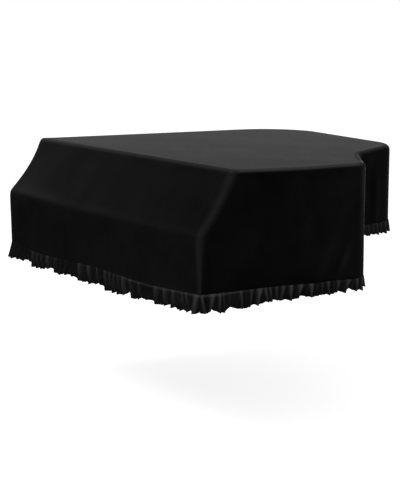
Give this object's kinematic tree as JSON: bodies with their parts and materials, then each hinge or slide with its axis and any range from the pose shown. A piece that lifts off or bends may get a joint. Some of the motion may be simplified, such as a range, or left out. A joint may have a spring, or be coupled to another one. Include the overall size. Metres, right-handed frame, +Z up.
{
  "type": "grand piano cover",
  "caption": "Fitted black velvet cover that drapes over a closed grand piano, with a sloped front and a gathered ruffle along its hem.",
  "frame": {"origin": "on the underside of the top panel, midway across the cover and 0.80 m behind its front drop", "axes": "+X towards the treble side, +Y from the keyboard to the tail, +Z up"},
  "size_m": [1.5882, 1.4963, 0.5344],
  "materials": {
    "velvet": "matt black short-pile velvet",
    "ruffle_velvet": "black velvet gathered into a ruffle, lighter where its folds catch the light"
  },
  "bodies": {
    "root": {"top_panel": "velvet", "front_panel": "velvet", "treble_panel": "velvet", "bentside_panel": "velvet", "tail_panel": "velvet", "spine_panel": "velvet", "ruffle_front": "ruffle_velvet", "ruffle_treble": "ruffle_velvet", "ruffle_bentside": "ruffle_velvet", "ruffle_tail": "ruffle_velvet", "ruffle_spine": "ruffle_velvet"}
  },
  "joints": []
}
